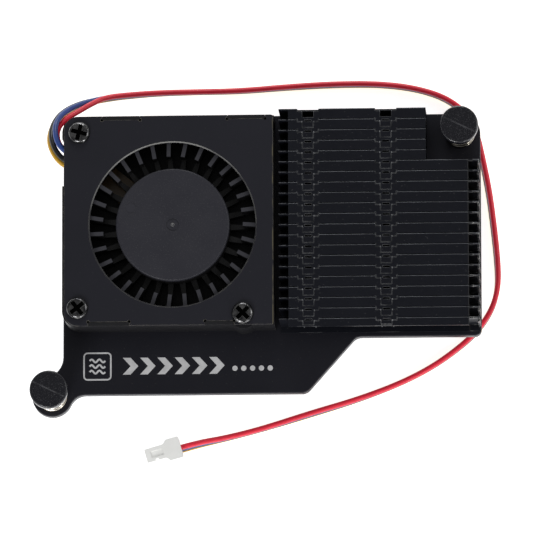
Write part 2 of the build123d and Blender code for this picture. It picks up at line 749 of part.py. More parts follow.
# The shared stretch gives x and y of the top wire, z of the lowest one, and how far the
# stack leans: the shift in x and y for each level that a wire lies below the top one.
main_route = [
    (-21.60, 24.65, 3.30, 0.00, 0.06), (-18.40, 25.15, 2.35, 0.00, 0.08),
    (-14.20, 25.60, 1.35, 0.00, 0.10), (-8.70, 25.80, 0.65, 0.00, 0.12),
    (-2.50, 25.90, 0.42, 0.00, 0.11), (4.50, 26.45, 0.42, 0.00, 0.09),
    (11.50, 26.80, 0.42, 0.00, 0.07), (18.00, 26.70, 0.42, 0.00, 0.08),
    (23.20, 25.90, 0.42, 0.00, 0.08), (27.20, 24.45, 0.42, 0.00, 0.06),
    (30.00, 22.10, 0.42, -0.02, 0.03), (31.35, 19.20, 0.42, -0.04, 0.00),
    (32.05, 16.00, 0.42, -0.06, 0.00), (33.02, 11.10, 0.42, -0.07, 0.00),
    (33.65, 6.00, 0.42, -0.07, 0.00), (34.15, 1.00, 0.42, -0.07, 0.00),
    (34.20, -2.70, 0.42, -0.05, 0.02), (33.30, -6.00, 0.42, -0.03, 0.04),
    (31.20, -9.10, 0.42, 0.00, 0.07), (28.20, -11.80, 0.42, 0.00, 0.09),
    (24.30, -14.50, 0.42, 0.00, 0.11), (19.70, -16.75, 0.42, 0.00, 0.11),
    (13.90, -18.85, 0.42, 0.00, 0.08), (7.20, -20.75, 0.42, 0.00, 0.03),
    (0.60, -22.85, 0.42, 0.00, 0.09),
]
plug_rear = (-10.93, -25.56)
plug_dir = (-math.cos(math.radians(plug_angle)), -math.sin(math.radians(plug_angle)))
contact_z = [plug_height / 2 + contact_pitch * (i - (contact_count - 1) / 2) for i in range(contact_count)]


def corner_radii(points):
    """Largest arc at each corner that leaves its two runs a straight tenth."""
    radii = []
    for before, here, after in zip(points, points[1:], points[2:]):
        run_in = Vector(*here) - Vector(*before)
        run_out = Vector(*after) - Vector(*here)
        turn = math.radians(run_in.get_angle(run_out))
        radii.append(0.45 * min(run_in.length, run_out.length) / math.tan(turn / 2))
    return radii


wire_exits = {
    "wire_yellow": yellow_exit,
    "wire_black": black_exit,
    "wire_blue": blue_exit,
    "wire_red": red_exit,
}
for level, (wire_name, exit_points) in enumerate(wire_exits.items()):
    below_top = contact_count - 1 - level
    stacked = [
        (x + below_top * lean_x, y + below_top * lean_y, z + level * wire_pitch)
        for x, y, z, lean_x, lean_y in main_route
    ]
    near_plug = (
        fan_in_x,
        fan_in_y + fan_in_lean * below_top,
        fan_in_z + fan_in_pitch * level,
    )
    plug_points = [
        (
            plug_rear[0] - plug_straight * plug_dir[0],
            plug_rear[1] - plug_straight * plug_dir[1],
            contact_z[level],
        ),
        (
            plug_rear[0] + plug_entry * plug_dir[0],
            plug_rear[1] + plug_entry * plug_dir[1],
            contact_z[level],
        ),
    ]
    route = exit_points + stacked + [near_plug] + plug_points
    radii = corner_radii(route)
    with BuildPart() as wire:
        with BuildLine() as path:
            FilletPolyline(*route, radius=radii)
        centreline = path.wires()[0]
        with BuildSketch(Plane(origin=centreline @ 0, z_dir=centreline % 0)):
            Circle(wire_d / 2)
        sweep(path=centreline)
    wire_length = centreline.length
    wire_volume = math.pi * (wire_d / 2) ** 2 * wire_length
    print(
        f"{wire_name}: length {wire_length:.1f}, smallest radius {min(radii):.2f}, "
        f"volume {wire.part.volume:.2f} against {wire_volume:.2f}"
    )
    print("   radii", " ".join(f"{radius:.1f}" for radius in radii))
    save(wire, wire_name)

# ---------------------------------------------------------------- connector
# The plug stands on its narrow side; its cavities hold one crimped contact for each wire.
plug_plane = Plane(
    origin=(plug_rear[0], plug_rear[1], 0), x_dir=(plug_dir[0], plug_dir[1], 0), z_dir=(0, 0, 1)
)
cavity = 0.84
window = 0.45
contact_gap = 0.04
contact_wall = 0.8
front_wall = 0.5
channel_w = 0.9
channel_depth = 0.15
channel_x0 = plug_flange_length + 0.7
channel_x1 = plug_length - 0.8
key_x = 3.5
key_w = 0.45
key_depth = 0.25

with BuildPart() as plug_housing:
    with BuildSketch(plug_plane):
        with Locations((0, 0)):
            Rectangle(plug_length, plug_body_t, align=(Align.MIN, Align.CENTER))
        with BuildLine():
            Polyline(
                (0, -plug_flange_t / 2),
                (plug_flange_length, -plug_flange_t / 2),
                (plug_flange_length + plug_slope_l, -plug_body_t / 2),
                (plug_flange_length + plug_slope_l, plug_body_t / 2),
                (plug_flange_length, plug_flange_t / 2),
                (0, plug_flange_t / 2),
                close=True,
            )
        make_face()
    extrude(amount=plug_height)
    chamfer(plug_housing.edges().filter_by(Axis.Z), plug_edge_break)
    with BuildSketch(plug_plane.offset(plug_height)):
        with Locations(((channel_x0 + channel_x1) / 2, 0)):
            Rectangle(channel_x1 - channel_x0, channel_w)
    extrude(amount=-channel_depth, mode=Mode.SUBTRACT)
    with BuildSketch(plug_plane):
        with Locations((key_x, plug_body_t / 2)):
            Rectangle(key_w, key_depth, align=(Align.MIN, Align.MAX))
    extrude(amount=plug_height, mode=Mode.SUBTRACT)
    rear_plane = Plane(
        origin=(plug_rear[0], plug_rear[1], 0),
        x_dir=(-plug_dir[1], plug_dir[0], 0),
        z_dir=(plug_dir[0], plug_dir[1], 0),
    )
    with BuildSketch(rear_plane):
        with Locations(*[(0, z) for z in contact_z]):
            Rectangle(cavity, cavity)
    extrude(amount=plug_length - front_wall, mode=Mode.SUBTRACT)
    with BuildSketch(rear_plane):
        with Locations(*[(0, z) for z in contact_z]):
            Rectangle(window, window)
    extrude(amount=plug_length + 1, mode=Mode.SUBTRACT)
save(plug_housing, "plug_housing")

with BuildPart() as plug_contacts:
    contact_plane = rear_plane.offset(plug_entry)
    with BuildSketch(contact_plane):
        with Locations(*[(0, z) for z in contact_z]):
            Rectangle(cavity - 2 * contact_gap, cavity - 2 * contact_gap)
    extrude(amount=plug_length - front_wall - plug_entry - seat_gap)
    with BuildSketch(contact_plane.offset(contact_wall)):
        with Locations(*[(0, z) for z in contact_z]):
            Rectangle(window, window)
    extrude(amount=plug_length, mode=Mode.SUBTRACT)
save(plug_contacts, "plug_contacts")
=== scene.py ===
import json
import math

import bmesh
import bpy
from mathutils import Matrix, Vector


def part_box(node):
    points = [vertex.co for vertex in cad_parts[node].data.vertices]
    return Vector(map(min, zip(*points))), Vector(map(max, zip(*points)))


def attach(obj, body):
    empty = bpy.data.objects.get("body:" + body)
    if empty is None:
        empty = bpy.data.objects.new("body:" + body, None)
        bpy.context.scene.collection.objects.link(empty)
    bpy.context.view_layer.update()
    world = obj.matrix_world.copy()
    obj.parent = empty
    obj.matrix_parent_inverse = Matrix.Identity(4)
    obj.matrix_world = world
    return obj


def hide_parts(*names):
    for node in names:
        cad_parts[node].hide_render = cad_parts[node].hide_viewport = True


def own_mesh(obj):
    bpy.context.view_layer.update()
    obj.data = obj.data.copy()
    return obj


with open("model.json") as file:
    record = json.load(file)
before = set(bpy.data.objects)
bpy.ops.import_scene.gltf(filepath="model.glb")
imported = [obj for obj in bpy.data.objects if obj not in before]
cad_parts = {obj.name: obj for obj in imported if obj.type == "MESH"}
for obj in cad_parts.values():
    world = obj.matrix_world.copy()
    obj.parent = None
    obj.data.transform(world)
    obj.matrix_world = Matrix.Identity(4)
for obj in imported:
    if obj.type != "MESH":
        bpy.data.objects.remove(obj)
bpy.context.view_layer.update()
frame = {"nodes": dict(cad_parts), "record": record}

MM = 0.001

# ---------------------------------------------------------------- camera
# Straight down on the cooler, a little from the front, from far away.
target = Vector((1.905, -0.763, 7.2)) * MM
camera_direction = Vector((0.0482, -0.1626, 1.0)).normalized()
camera_distance = 1.1004
camera_roll = -0.00283

camera_data = bpy.data.cameras.new("camera")
camera_data.sensor_width = 36.0
camera_data.lens = 517.5
camera_data.clip_start = 0.05
camera_data.clip_end = 10.0
camera = bpy.data.objects.new("camera", camera_data)
bpy.context.scene.collection.objects.link(camera)
camera.location = target + camera_direction * camera_distance
right = (-camera_direction).cross(Vector((0.0, 1.0, 0.0))).normalized()
up = right.cross(-camera_direction)
rolled_right = math.cos(camera_roll) * right + math.sin(camera_roll) * up
rolled_up = math.cos(camera_roll) * up - math.sin(camera_roll) * right
camera.rotation_mode = "QUATERNION"
camera_axes = Matrix((rolled_right, rolled_up, camera_direction)).transposed()
camera.rotation_quaternion = camera_axes.to_quaternion()
bpy.context.scene.camera = camera

# ---------------------------------------------------------------- material tools
FAR = 1.0             # an open end for a mask of places: past every piece, in metres
PAST_UP = 1.1         # an open end for a mask of directions, whose parts reach 1 at most
COLOR_A, COLOR_B = 6, 7   # the Mix node's colour sockets, which share their names with others
COLOR_RESULT = 2
EDGE_SAMPLES = 4
SPECK_FADE = 0.03
COAT_ROUGHNESS = 0.2


def new_material(name, color, roughness, metallic=0.0):
    """A Principled material, its node tree and its shader."""
    material = bpy.data.materials.new(name)
    material.use_nodes = True
    shader = material.node_tree.nodes["Principled BSDF"]
    shader.inputs["Base Color"].default_value = (*color, 1.0)
    shader.inputs["Roughness"].default_value = roughness
    shader.inputs["Metallic"].default_value = metallic
    return material, material.node_tree, shader


def place(tree):
    """The piece's own coordinates, in metres."""
    return tree.nodes.new("ShaderNodeTexCoord").outputs["Object"]


def noise(tree, scale, detail=2.0, stretch=None, roughness=0.5):
    """Noise of so many cells to the metre, stretched along an axis if asked."""
    texture = tree.nodes.new("ShaderNodeTexNoise")
    texture.inputs["Scale"].default_value = scale
    texture.inputs["Detail"].default_value = detail
    texture.inputs["Roughness"].default_value = roughness
    source = place(tree)
    if stretch:
        mapping = tree.nodes.new("ShaderNodeMapping")
        mapping.inputs["Scale"].default_value = stretch
        tree.links.new(source, mapping.inputs["Vector"])
        source = mapping.outputs["Vector"]
    tree.links.new(source, texture.inputs["Vector"])
    return texture.outputs["Fac"]


def ramp(tree, value, low, high, start, end):
    """Maps low..high of value onto start..end, clamped."""
    node = tree.nodes.new("ShaderNodeMapRange")
    node.inputs["From Min"].default_value = low
    node.inputs["From Max"].default_value = high
    node.inputs["To Min"].default_value = start
    node.inputs["To Max"].default_value = end
    tree.links.new(value, node.inputs["Value"])
    return node.outputs["Result"]


def patchy(tree, scale, detail, low, high, least, stretch=None):
    """Noise that is 1 in some places and falls to least in others."""
    return ramp(tree, noise(tree, scale, detail, stretch), low, high, least, 1.0)


def mix(tree, factor, first, second):
    """Colour mix; first and second are colours or links."""
    node = tree.nodes.new("ShaderNodeMix")
    node.data_type = "RGBA"
    tree.links.new(factor, node.inputs["Factor"])
    for socket, value in ((node.inputs[COLOR_A], first), (node.inputs[COLOR_B], second)):
        if isinstance(value, tuple):
            socket.default_value = (*value, 1.0)
        else:
            tree.links.new(value, socket)
    return node.outputs[COLOR_RESULT]


def compute(tree, operation, *values):
    """One Math node; each value is a number or a link."""
    node = tree.nodes.new("ShaderNodeMath")
    node.operation = operation
    for socket, value in zip(node.inputs, values):
        if isinstance(value, float):
            socket.default_value = value
        else:
            tree.links.new(value, socket)
    return node.outputs["Value"]


def multiply(tree, product, *factors):
    """The product of a link and more links or numbers."""
    for factor in factors:
        product = compute(tree, "MULTIPLY", product, factor)
    return product


def only_if(tree, value, low, high):
    """1 where value lies between low and high, 0 elsewhere."""
    above = compute(tree, "GREATER_THAN", value, low)
    below = compute(tree, "LESS_THAN", value, high)
    return multiply(tree, above, below)


def own_place(tree, axis):
    """One of the piece's own coordinates, in metres."""
    split = tree.nodes.new("ShaderNodeSeparateXYZ")
    tree.links.new(place(tree), split.inputs["Vector"])
    return split.outputs[axis]


def facing(tree, axis):
    """One part of the direction a face looks in."""
    geometry = tree.nodes.new("ShaderNodeNewGeometry")
    split = tree.nodes.new("ShaderNodeSeparateXYZ")
    tree.links.new(geometry.outputs["True Normal"], split.inputs["Vector"])
    return split.outputs[axis]


def facing_up(tree, least):
    """1 on faces that look up by at least this part, 0 elsewhere."""
    return only_if(tree, facing(tree, "Z"), least, PAST_UP)


def own_height(node, world_z):
    """A height in the world as the piece itself counts it."""
    return world_z - bpy.data.objects[node].matrix_world.translation.z


def layer(tree, top, deepest, shallowest):
    """1 between two depths below top, which are in millimetres, and 0 elsewhere."""
    return only_if(tree, own_place(tree, "Z"), top - deepest * MM, top - shallowest * MM)


def painted_edge_light(tree, radius, low=0.04, high=0.30):
    """1 within about radius of an edge, 0 elsewhere, broken up by noise, for painted light and shade
    on edges.
    """
    bevel = tree.nodes.new("ShaderNodeBevel")
    bevel.samples = EDGE_SAMPLES
    bevel.inputs["Radius"].default_value = radius
    geometry = tree.nodes.new("ShaderNodeNewGeometry")
    dot = tree.nodes.new("ShaderNodeVectorMath")
    dot.operation = "DOT_PRODUCT"
    tree.links.new(bevel.outputs["Normal"], dot.inputs[0])
    tree.links.new(geometry.outputs["True Normal"], dot.inputs[1])
    edge = ramp(tree, dot.outputs["Value"], 1.0 - high, 1.0 - low, 1.0, 0.0)
    return multiply(tree, edge, patchy(tree, 900, 3, 0.35, 0.62, least=0.2))


def bump(tree, shader, height, strength, distance):
    """Presses a link's value into the surface as fine relief."""
    node = tree.nodes.new("ShaderNodeBump")
    node.inputs["Strength"].default_value = strength
    node.inputs["Distance"].default_value = distance
    tree.links.new(height, node.inputs["Height"])
    tree.links.new(node.outputs["Normal"], shader.inputs["Normal"])


def surface(
    name, color, roughness, metallic=0.0, second=None, grain=9000, grain_depth=0.000012,
    grain_strength=0.4, blotch=220, rough_span=0.08, edge=None, edge_radius=0.00008,
    specks=None, stretch=None, specular=0.5, coat=0.0,
):
    """A material with blotches, fine grain, painted highlights along its edges (painted shade on the
    plug) and specks, all procedural.
    """
    material, tree, shader = new_material(name, color, roughness, metallic)
    shader.inputs["Specular IOR Level"].default_value = specular
    shader.inputs["Coat Weight"].default_value = coat
    shader.inputs["Coat Roughness"].default_value = COAT_ROUGHNESS
    second = second or tuple(c * 1.25 for c in color)
    blotches = patchy(tree, blotch, 4, 0.35, 0.65, least=0.0)
    base = mix(tree, blotches, color, second)
    fine = noise(tree, grain, 2, stretch)
    rough = ramp(tree, fine, 0.3, 0.7, roughness - rough_span, roughness + rough_span)
    tree.links.new(rough, shader.inputs["Roughness"])
    if specks:
        speck_color, speck_scale, speck_level = specks
        speck_noise = noise(tree, speck_scale, 1, None, 0.3)
        dots = ramp(tree, speck_noise, speck_level, speck_level + SPECK_FADE, 0.0, 1.0)
        base = mix(tree, dots, base, speck_color)
    # Painted highlights along the edges (on the plug, painted shade).
    if edge:
        base = mix(tree, painted_edge_light(tree, edge_radius), base, edge)
    tree.links.new(base, shader.inputs["Base Color"])
    bump(tree, shader, fine, grain_strength, grain_depth)
    return material


def add_color(material, mask, color):
    """Paints color over a finished material where mask is 1."""
    tree = material.node_tree
    base = tree.nodes["Principled BSDF"].inputs["Base Color"]
    under = base.links[0].from_socket
    tree.links.new(mix(tree, mask, under, color), base)


# ---------------------------------------------------------------- materials
# Each edge colour below is a painted highlight along the edges, except the plug's, which is painted
# shade.
MATERIALS = {
    "plate_anodised": surface(
        "plate_anodised", (0.0110, 0.0112, 0.0168), 0.42, 0.3, (0.0128, 0.0130, 0.0188),
        grain=14000, grain_depth=0.000006, edge=(0.035, 0.029, 0.027), blotch=150,
        specks=((0.03, 0.03, 0.032), 5200, 0.74), specular=0.32,
    ),
    "fin_anodised": surface(
        "fin_anodised", (0.0054, 0.0062, 0.0104), 0.38, 0.3, (0.0064, 0.0074, 0.0120),
        grain=12000, grain_depth=0.000006, edge=(0.050, 0.053, 0.060), blotch=130,
        edge_radius=0.00006, specks=((0.05, 0.05, 0.055), 4200, 0.76),
        stretch=(0.25, 1.0, 1.0), specular=0.32,
    ),
    "housing_plastic": surface(
        "housing_plastic", (0.0062, 0.0062, 0.0078), 0.5, 0.0, (0.0074, 0.0074, 0.0092),
        grain=7000, edge=(0.060, 0.058, 0.054), specular=0.3,
    ),
    # The cover's bright edge colour is a painted highlight.
    "cover_coat": surface(
        "cover_coat", (0.0088, 0.0090, 0.0142), 0.50, 0.0, (0.0100, 0.0102, 0.0158),
        grain=11000, grain_depth=0.000008, edge=(0.32, 0.30, 0.25), blotch=120,
        edge_radius=0.00010, specks=((0.022, 0.022, 0.026), 5800, 0.75), specular=0.3,
    ),
    # The screws' bright edge colour is a painted highlight on the rims.
    "screw_black": surface(
        "screw_black", (0.045, 0.045, 0.049), 0.22, 1.0, (0.20, 0.20, 0.20), grain=2600,
        grain_depth=0.00006, grain_strength=0.8, rough_span=0.10, edge=(0.60, 0.60, 0.58),
        edge_radius=0.00008, blotch=1500,
    ),
    "impeller_plastic": surface(
        "impeller_plastic", (0.0200, 0.0200, 0.0272), 0.5, 0.0, (0.0232, 0.0232, 0.0305),
        grain=9000, grain_depth=0.00002, blotch=300, edge=(0.070, 0.070, 0.076),
        edge_radius=0.00008, specks=((0.040, 0.040, 0.046), 6500, 0.66), specular=0.32,
    ),
    "rotor_steel": surface(
        "rotor_steel", (0.42, 0.42, 0.43), 0.3, 1.0, grain=5000, stretch=(1, 1, 0.08),
    ),
    "magnet_ferrite": surface("magnet_ferrite", (0.035, 0.034, 0.036), 0.6, 0.2, grain=9000),
    "core_steel": surface(
        "core_steel", (0.27, 0.27, 0.28), 0.35, 1.0, grain=5200, stretch=(0.02, 0.02, 1),
        grain_depth=0.00004,
    ),
    "insulator_plastic": surface("insulator_plastic", (0.62, 0.58, 0.46), 0.5, 0.0),
    "coil_copper": surface(
        "coil_copper", (0.48, 0.19, 0.06), 0.28, 1.0, grain=5500, stretch=(1, 1, 0.1),
        grain_depth=0.00006,
    ),
    "board_mask": surface(
        "board_mask", (0.15, 0.082, 0.014), 0.4, 0.0, (0.09, 0.048, 0.009), blotch=700, coat=0.3,
    ),
    "chip_black": surface("chip_black", (0.014, 0.014, 0.015), 0.5, 0.0, grain=9000),
    "bearing_bronze": surface(
        "bearing_bronze", (0.42, 0.27, 0.11), 0.45, 1.0, grain=12000, grain_depth=0.00003,
    ),
    "thrust_plastic": surface("thrust_plastic", (0.7, 0.67, 0.6), 0.5, 0.0),
    "pin_nylon": surface(
        "pin_nylon", (0.0044, 0.0046, 0.0074), 0.25, 0.0, (0.0056, 0.0058, 0.0090),
        grain=9000, grain_depth=0.000014, rough_span=0.08, edge=(0.13, 0.13, 0.14),
        edge_radius=0.00007, specks=((0.05, 0.05, 0.055), 9000, 0.66),
    ),
    "spring_nickel": surface(
        "spring_nickel", (0.60, 0.56, 0.49), 0.18, 1.0, (0.45, 0.41, 0.34), grain=9000,
        grain_depth=0.000006, rough_span=0.06,
    ),
    "pad_silicone": surface(
        "pad_silicone", (0.28, 0.31, 0.36), 0.65, 0.0, (0.34, 0.37, 0.42), grain=5000,
        grain_depth=0.00004, grain_strength=0.7, blotch=500,
    ),
    # The plug's darker edge colour is painted shade.
    "plug_white": surface(
        "plug_white", (0.88, 0.885, 0.86), 0.42, 0.0, (0.92, 0.92, 0.90), grain=6000,
        blotch=400, edge=(0.66, 0.66, 0.645),
    ),
    "contact_tin": surface("contact_tin", (0.6, 0.6, 0.58), 0.3, 1.0),
}
WIRE_COLORS = {
    "wire_red": ((0.80, 0.022, 0.050), (0.72, 0.016, 0.042)),
    "wire_blue": ((0.024, 0.066, 0.28), (0.018, 0.050, 0.22)),
    "wire_black": ((0.003, 0.003, 0.0035), (0.005, 0.005, 0.0055)),
    "wire_yellow": ((0.70, 0.40, 0.030), (0.62, 0.34, 0.022)),
}
for wire, (first, second) in WIRE_COLORS.items():
    MATERIALS[wire + "_pvc"] = surface(
        wire + "_pvc", first, 0.38, 0.0, second, grain=5200, grain_depth=0.00001,
        blotch=260, rough_span=0.07,
    )

# ---------------------------------------------------------------- details of the fins
# All fins start at the same x. Places along them are counted from both ends of a full-length
# one, so what belongs to the right-hand end leaves out the five short fins.
fin_low, fin_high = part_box("fin_06")
fin_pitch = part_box("fin_01")[1].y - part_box("fin_02")[1].y
LEFT_END = fin_low.x + 1.3 * MM
RIGHT_END = fin_high.x - 1.5 * MM
LOCK_COLUMNS = [fin_low.x + 4.15 * MM, fin_low.x + 15.15 * MM]
LOCK_REACH = 1.62 * MM
FIRST_LOCK_Y = fin_high.y - 0.40 * MM
TAB_HALF_W = 0.83 * MM
GLINT_REACH = 0.11 * MM
FOLD_LINE = (RIGHT_END - 0.12 * MM, RIGHT_END + 0.02 * MM)


def bend_highlights(material, color):
    """Painted highlight along the rounded back bend of each fin, where it catches the light."""
    tree = material.node_tree
    on_bend = multiply(
        tree, ramp(tree, facing(tree, "Y"), 0.25, 0.5, 0.0, 1.0),
        ramp(tree, facing(tree, "Z"), 0.15, 0.4, 0.0, 1.0),
    )
    uneven = patchy(tree, 700, 3, 0.3, 0.6, least=0.35, stretch=(0.3, 1.0, 1.0))
    x = own_place(tree, "X")
    for start, end, share in (
        (LEFT_END, RIGHT_END, 1.0), (-FAR, LEFT_END, 0.35), (RIGHT_END, FAR, 0.8),
    ):
        part = multiply(tree, only_if(tree, x, start, end), share)
        add_color(material, multiply(tree, on_bend, uneven, part), color)


def lock_edge_highlights(material, color):
    """Painted highlights along the cut edges round the locks."""
    tree = material.node_tree
    x = own_place(tree, "X")
    for column in LOCK_COLUMNS:
        near_lock = only_if(tree, x, column - LOCK_REACH, column + LOCK_REACH)
        add_color(material, multiply(tree, near_lock, painted_edge_light(tree, 0.14 * MM, 0.02, 0.2)), color)


def right_end_glints(material, end_glint_color, fold_color):
    """Painted glints on the cut right-hand ends, and a thin line across the top where they start."""
    tree = material.node_tree
    x = own_place(tree, "X")
    end_glints = multiply(tree, only_if(tree, x, RIGHT_END, FAR), painted_edge_light(tree, 0.16 * MM, 0.02, 0.15))
    uneven = patchy(tree, 950, 2, 0.42, 0.60, least=0.10)
    add_color(material, multiply(tree, end_glints, uneven), end_glint_color)
    fold = only_if(tree, x, *FOLD_LINE)
    add_color(material, multiply(tree, fold, facing_up(tree, 0.9)), fold_color)


def lock_glints(material, color):
    """Painted glints at both ends of every T-shaped tab, where the press has cut the sheet."""
    tree = material.node_tree
    x = own_place(tree, "X")
    from_first = compute(tree, "SUBTRACT", own_place(tree, "Y"), FIRST_LOCK_Y)
    from_row = compute(tree, "PINGPONG", from_first, fin_pitch / 2)
    in_row = ramp(tree, from_row, GLINT_REACH * 0.5, GLINT_REACH, 1.0, 0.0)
    for column in LOCK_COLUMNS:
        for side in (-TAB_HALF_W, TAB_HALF_W):
            at_end = compute(tree, "COMPARE", x, column + side, GLINT_REACH * 0.62)
            uneven = patchy(tree, 800, 1, 0.30, 0.62, least=0.25)
            add_color(material, multiply(tree, in_row, at_end, uneven), color)


# Painted highlight along each fin's back bend.
bend_highlights(MATERIALS["fin_anodised"], (0.074, 0.079, 0.090))
# Painted highlights along the lock edges.
lock_edge_highlights(MATERIALS["fin_anodised"], (0.19, 0.193, 0.20))
# Painted glints at the fins' right-hand ends.
right_end_glints(MATERIALS["fin_anodised"], (0.62, 0.62, 0.60), (0.030, 0.030, 0.032))
# Painted glints at the ends of the tabs.
lock_glints(MATERIALS["fin_anodised"], (0.42, 0.43, 0.45))

# ---------------------------------------------------------------- details of the blower
COVER_EDGE_W = 0.14 * MM
cover_low, cover_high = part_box("blower_cover")


def cover_details(material):
    """Painted highlight on the turned edge of the inlet, strongest where it faces the front;
    and yellowish dashes run along the cover's right edge."""
    tree = material.node_tree
    # Painted highlight on the turned edge of the inlet, strongest on faces toward the front lamps.
    turned = only_if(tree, facing(tree, "Z"), 0.3, 0.95)
    uneven = patchy(tree, 160, 2, 0.38, 0.60, least=0.25)
    faces_front_lamps = ramp(tree, facing(tree, "Y"), -0.55, 0.15, 1.0, 0.14)
    add_color(material, multiply(tree, turned, uneven, faces_front_lamps), (0.24, 0.24, 0.23))
    outer = only_if(tree, own_place(tree, "X"), cover_high.x - COVER_EDGE_W, FAR)
    dashes = patchy(tree, 420, 2, 0.46, 0.62, least=0.0, stretch=(0.1, 1.0, 0.1))
    add_color(material, multiply(tree, outer, dashes), (0.085, 0.075, 0.050))


def impeller_details(material):
    """Painted highlight on blade tops, painted shade on roots; on the hub a painted glint on the
    gate mark, and a sunk round mark.
    """
    tree = material.node_tree
    blade_top = own_height("impeller", cover_low.z - 0.3 * MM)
    # Painted highlight on the blade tops.
    add_color(material, layer(tree, blade_top, 0.02, -0.02), (0.034, 0.034, 0.041))
    # Painted shade on the blade roots, deep under the cover.
    roots = only_if(tree, own_place(tree, "Z"), -FAR, blade_top - 0.15 * MM)
    add_color(material, roots, (0.0035, 0.0035, 0.0040))
    hub_top = own_height("impeller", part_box("impeller")[1].z)
    # A broken-up painted glint on the gate mark at the hub's centre.
    flat = facing_up(tree, 0.97)
    glint_breakup = patchy(tree, 5200, 2, 0.40, 0.58, least=0.15)
    gate_glint = multiply(tree, layer(tree, hub_top, 0.05, 0.03), flat, glint_breakup)
    add_color(material, gate_glint, (0.17, 0.17, 0.17))
    sunk_mark = multiply(tree, layer(tree, hub_top, 0.07, 0.052), flat)
    add_color(material, sunk_mark, (0.025, 0.025, 0.033))


def screw_details(material):
    """Painted shade: the floor of the cross recess is painted black."""
    tree = material.node_tree
    screw_top = own_height("cover_screws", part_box("cover_screws")[1].z)
    # Painted shade in the recess.
    shaded_recess_floor = multiply(tree, layer(tree, screw_top, 0.6, 0.2), facing_up(tree, 0.92))
    add_color(material, shaded_recess_floor, (0.004, 0.004, 0.004))


def pin_details(material):
    """Painted highlights: the fine lines on the pins' heads are painted pale."""
    tree = material.node_tree
    pin_top = own_height("push_pin_a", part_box("push_pin_a")[1].z)
    broken = patchy(tree, 900, 3, 0.40, 0.62, least=0.25)
    # Painted highlights on the parting line and just inside the rim.
    line_highlights = multiply(tree, layer(tree, pin_top, 0.075, 0.045), broken)
    add_color(material, line_highlights, (0.095, 0.095, 0.105))


cover_details(MATERIALS["cover_coat"])
impeller_details(MATERIALS["impeller_plastic"])
screw_details(MATERIALS["screw_black"])
pin_details(MATERIALS["pin_nylon"])

node_slot = {row["node"]: row["material_slot"] for row in frame["record"]["subparts"]}
for node, piece in frame["nodes"].items():
    piece.data.materials.clear()
    piece.data.materials.append(MATERIALS[node_slot[node]])

# ---------------------------------------------------------------- cords
# The four wires of the lead: the control points of each wire's own route, in millimetres.
WIRE_D = 0.78
WIRE_PITCH = 0.84
WIRE_EXITS = {
    "wire_yellow": [
        (-24.70, 13.75, 10.00), (-26.30, 13.75, 10.00), (-27.55, 14.40, 9.95),
        (-28.55, 15.60, 9.60), (-29.22, 17.05, 9.00), (-29.42, 18.60, 8.15),
        (-29.08, 20.20, 7.10), (-28.25, 21.70, 5.95), (-26.95, 22.95, 4.95),
        (-25.15, 23.95, 4.15),
    ],
    "wire_black": [
        (-24.70, 14.35, 10.60), (-26.15, 14.35, 10.60), (-27.40, 15.00, 10.55),
        (-28.40, 16.25, 10.20), (-28.98, 17.85, 9.60), (-29.08, 19.50, 8.80),
        (-28.58, 21.05, 7.80), (-27.62, 22.42, 6.65), (-26.20, 23.45, 5.60),
        (-24.30, 24.25, 4.80),
    ],
    "wire_blue": [
        (-24.70, 15.50, 11.20), (-26.00, 15.50, 11.20), (-27.15, 16.10, 11.20),
        (-28.05, 17.25, 11.08), (-28.42, 18.80, 10.70), (-28.33, 20.25, 10.02),
        (-27.70, 21.55, 9.08), (-26.50, 22.68, 7.84), (-24.98, 23.56, 6.66),
        (-23.30, 24.24, 5.67),
    ],
    "wire_red": [
        (-24.70, 15.85, 9.30), (-26.06, 15.85, 9.30), (-27.24, 16.44, 9.28),
        (-28.05, 17.49, 9.20), (-28.30, 18.79, 9.05), (-27.93, 20.08, 8.90),
        (-26.85, 21.25, 8.65), (-25.43, 22.12, 8.10), (-23.70, 23.40, 7.00),
    ],
}
# The shared stretch: x and y of the top wire, z of the lowest, and the lean in x and y.
MAIN_ROUTE = [
    (-21.60, 24.65, 3.30, 0.00, 0.06), (-18.40, 25.15, 2.35, 0.00, 0.08),
    (-14.20, 25.60, 1.35, 0.00, 0.10), (-8.70, 25.80, 0.65, 0.00, 0.12),
    (-2.50, 25.90, 0.42, 0.00, 0.11), (4.50, 26.45, 0.42, 0.00, 0.09),
    (11.50, 26.80, 0.42, 0.00, 0.07), (18.00, 26.70, 0.42, 0.00, 0.08),
    (23.20, 25.90, 0.42, 0.00, 0.08), (27.20, 24.45, 0.42, 0.00, 0.06),
    (30.00, 22.10, 0.42, -0.02, 0.03), (31.35, 19.20, 0.42, -0.04, 0.00),
    (32.05, 16.00, 0.42, -0.06, 0.00), (33.02, 11.10, 0.42, -0.07, 0.00),
    (33.65, 6.00, 0.42, -0.07, 0.00), (34.15, 1.00, 0.42, -0.07, 0.00),
    (34.20, -2.70, 0.42, -0.05, 0.02), (33.30, -6.00, 0.42, -0.03, 0.04),
    (31.20, -9.10, 0.42, 0.00, 0.07), (28.20, -11.80, 0.42, 0.00, 0.09),
    (24.30, -14.50, 0.42, 0.00, 0.11), (19.70, -16.75, 0.42, 0.00, 0.11),
    (13.90, -18.85, 0.42, 0.00, 0.08), (7.20, -20.75, 0.42, 0.00, 0.03),
    (0.60, -22.85, 0.42, 0.00, 0.09),
]
# The plug: the middle of its rear face, the way its wires enter, and its contacts' heights.
PLUG_REAR = (-10.93, -25.56)
PLUG_TURN = math.radians(15.55)
PLUG_DIR = (-math.cos(PLUG_TURN), -math.sin(PLUG_TURN))
CONTACT_LOW_Z = 1.0
CONTACT_PITCH = 1.0
BEFORE_MOUTH = 2.42
INSIDE_MOUTH = 1.3


